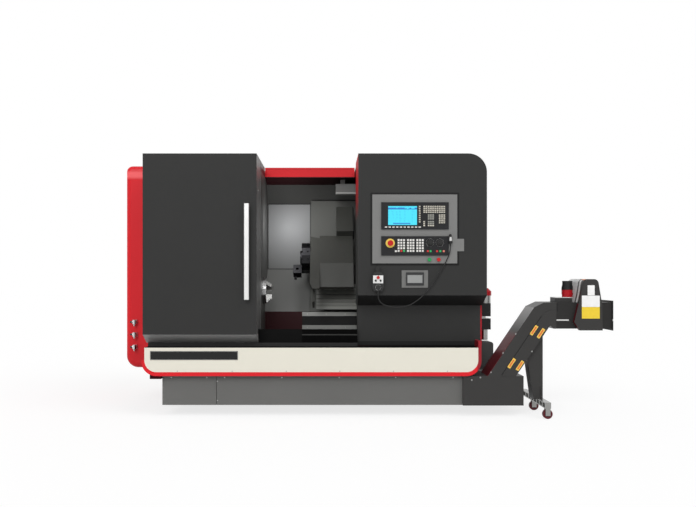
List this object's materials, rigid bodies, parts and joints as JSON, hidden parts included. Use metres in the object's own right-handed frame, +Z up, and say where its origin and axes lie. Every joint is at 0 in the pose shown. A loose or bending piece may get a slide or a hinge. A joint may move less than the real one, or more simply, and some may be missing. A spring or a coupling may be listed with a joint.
{
  "type": "cnc turning lathe",
  "caption": "Slant-bed CNC turning lathe with a sliding front door, tool turret, operator's panel, wired handwheel pendant and a hinged-belt chip conveyor.",
  "frame": {"origin": "on the floor under the middle of the whole machine's bounding box", "axes": "+X to the operator's right, towards the chip conveyor's head; +Y away from the operator, to the machine's back; +Z up"},
  "size_m": [3.777, 1.73, 1.98],
  "materials": {
    "red_paint": "satin powder coat",
    "charcoal_paint": "fine textured powder coat",
    "cabinet_paint": "fine textured powder coat",
    "cream_paint": "satin powder coat",
    "plinth_paint": "satin paint",
    "light_grey_paint": "satin powder coat",
    "maroon_paint": "satin powder coat",
    "casting_paint": "painted casting",
    "ground_steel": "ground",
    "stainless": "brushed",
    "chrome_steel": "polished",
    "black_steel": "blued, oiled",
    "cover_fabric": "ribbed",
    "panel_grey": "fine texture",
    "unit_black": "fine texture",
    "key_white": "matte",
    "pendant_white": "satin",
    "button_red": "gloss",
    "button_green": "gloss",
    "knob_black": "satin",
    "cable_black": "matte",
    "unit_grey": "satin",
    "zinc_steel": "zinc plated",
    "wheel_red": "matte"
  },
  "bodies": {
    "machine": {"levelling_feet": "zinc_steel", "base_casting": "plinth_paint", "base_panels": "plinth_paint", "chip_pan": "plinth_paint", "apron": "cream_paint", "apron_trim": "red_paint", "door_rail": "red_paint", "slant_bed": "casting_paint", "bed_rails": "ground_steel", "left_enclosure": "light_grey_paint", "left_end_cover": "red_paint", "spindle_wall": "light_grey_paint", "splash_panel": "light_grey_paint", "lower_guard": "maroon_paint", "upper_guard": "light_grey_paint", "roof_beam": "red_paint", "right_enclosure": "light_grey_paint", "control_cabinet": "cabinet_paint", "cabinet_skirt": "cabinet_paint", "control_plate": "panel_grey", "display_unit": "unit_black", "machine_panel": "unit_black", "panel_keys": "key_white", "service_panel": "unit_black", "pendant_body": "pendant_white", "pendant_cable": "cable_black", "cable_connector": "knob_black", "headstock": "casting_paint", "side_units": "unit_grey", "air_valves": "stainless", "work_light": "light_grey_paint", "conveyor_tank": "charcoal_paint", "conveyor_duct": "charcoal_paint", "conveyor_head": "charcoal_paint", "chain_guard": "charcoal_paint", "conveyor_motor": "knob_black", "slat_belt": "black_steel", "conveyor_leg": "charcoal_paint"},
    "door": {"door_shell": "charcoal_paint", "door_handle": "stainless"},
    "spindle_unit": {"spindle": "chrome_steel", "chuck_body": "chrome_steel"},
    "jaw_a": {"chuck_jaw_1": "chrome_steel"},
    "jaw_b": {"chuck_jaw_2": "chrome_steel"},
    "jaw_c": {"chuck_jaw_3": "chrome_steel"},
    "carriage": {"saddle": "casting_paint", "carriage_covers": "ground_steel"},
    "turret_slide": {"turret_housing": "casting_paint", "way_cover": "cover_fabric"},
    "turret": {"turret_disc": "black_steel", "tool_holders": "ground_steel"},
    "emergency_stop": {"estop_button": "button_red"},
    "cycle_start": {"start_button": "button_green"},
    "cycle_stop": {"stop_button": "button_red"},
    "knob_left": {"override_knob_left": "knob_black"},
    "knob_right": {"override_knob_right": "knob_black"},
    "handwheel": {"pendant_wheel": "knob_black"},
    "caster_front": {"caster_wheel_front": "wheel_red"},
    "caster_rear": {"caster_wheel_rear": "wheel_red"},
    "belt_drum": {"conveyor_drum": "black_steel"}
  },
  "joints": [
    {"name": "door_slide", "type": "slide", "parent": "machine", "child": "door", "axis": [1, 0, 0], "range_m": [0, 0.755]},
    {"name": "spindle_spin", "type": "hinge", "parent": "machine", "child": "spindle_unit", "pos_m": [-0.7875, -0.175, 0.939], "axis": [1, 0, 0], "continuous": true},
    {"name": "jaw_a_slide", "type": "slide", "parent": "spindle_unit", "child": "jaw_a", "axis": [0, -0.77, 0.6381], "range_m": [-0.004, 0.004]},
    {"name": "jaw_b_slide", "type": "slide", "parent": "spindle_unit", "child": "jaw_b", "axis": [0, -0.1676, -0.9858], "range_m": [-0.004, 0.004]},
    {"name": "jaw_c_slide", "type": "slide", "parent": "spindle_unit", "child": "jaw_c", "axis": [0, 0.9376, 0.3477], "range_m": [-0.004, 0.004]},
    {"name": "carriage_slide", "type": "slide", "parent": "machine", "child": "carriage", "axis": [1, 0, 0], "range_m": [-0.12, 0.24]},
    {"name": "cross_slide", "type": "slide", "parent": "carriage", "child": "turret_slide", "axis": [0, 0.6381, 0.77], "range_m": [-0.19, 0]},
    {"name": "turret_index", "type": "hinge", "parent": "turret_slide", "child": "turret", "pos_m": [-0.7875, 0.05089, 1.21156], "axis": [1, 0, 0], "continuous": true},
    {"name": "emergency_stop_push", "type": "slide", "parent": "machine", "child": "emergency_stop", "axis": [0, 1, 0], "range_m": [0, 0.006]},
    {"name": "cycle_start_push", "type": "slide", "parent": "machine", "child": "cycle_start", "axis": [0, 1, 0], "range_m": [0, 0.004], "stiffness_N_per_m": 400},
    {"name": "cycle_stop_push", "type": "slide", "parent": "machine", "child": "cycle_stop", "axis": [0, 1, 0], "range_m": [0, 0.004], "stiffness_N_per_m": 400},
    {"name": "knob_left_turn", "type": "hinge", "parent": "machine", "child": "knob_left", "pos_m": [0.5085, -0.775, 1.308], "axis": [0, 1, 0], "range_deg": [-150, 150]},
    {"name": "knob_right_turn", "type": "hinge", "parent": "machine", "child": "knob_right", "pos_m": [0.5815, -0.775, 1.308], "axis": [0, 1, 0], "range_deg": [-150, 150]},
    {"name": "handwheel_turn", "type": "hinge", "parent": "machine", "child": "handwheel", "pos_m": [0.1195, -0.815, 0.973], "axis": [0, 1, 0], "continuous": true},
    {"name": "caster_front_roll", "type": "hinge", "parent": "machine", "child": "caster_front", "pos_m": [1.3725, -0.843, 0.036], "axis": [0, 1, 0], "continuous": true},
    {"name": "caster_rear_roll", "type": "hinge", "parent": "machine", "child": "caster_rear", "pos_m": [1.3725, -0.449, 0.036], "axis": [0, 1, 0], "continuous": true},
    {"name": "belt_drum_turn", "type": "hinge", "parent": "machine", "child": "belt_drum", "pos_m": [1.6925, -0.625, 0.7605], "axis": [0, 1, 0], "continuous": true}
  ],
  "couplings": [
    {"joint": "jaw_b_slide", "follows": "jaw_a_slide", "ratio": 1},
    {"joint": "jaw_c_slide", "follows": "jaw_a_slide", "ratio": 1}
  ]
}
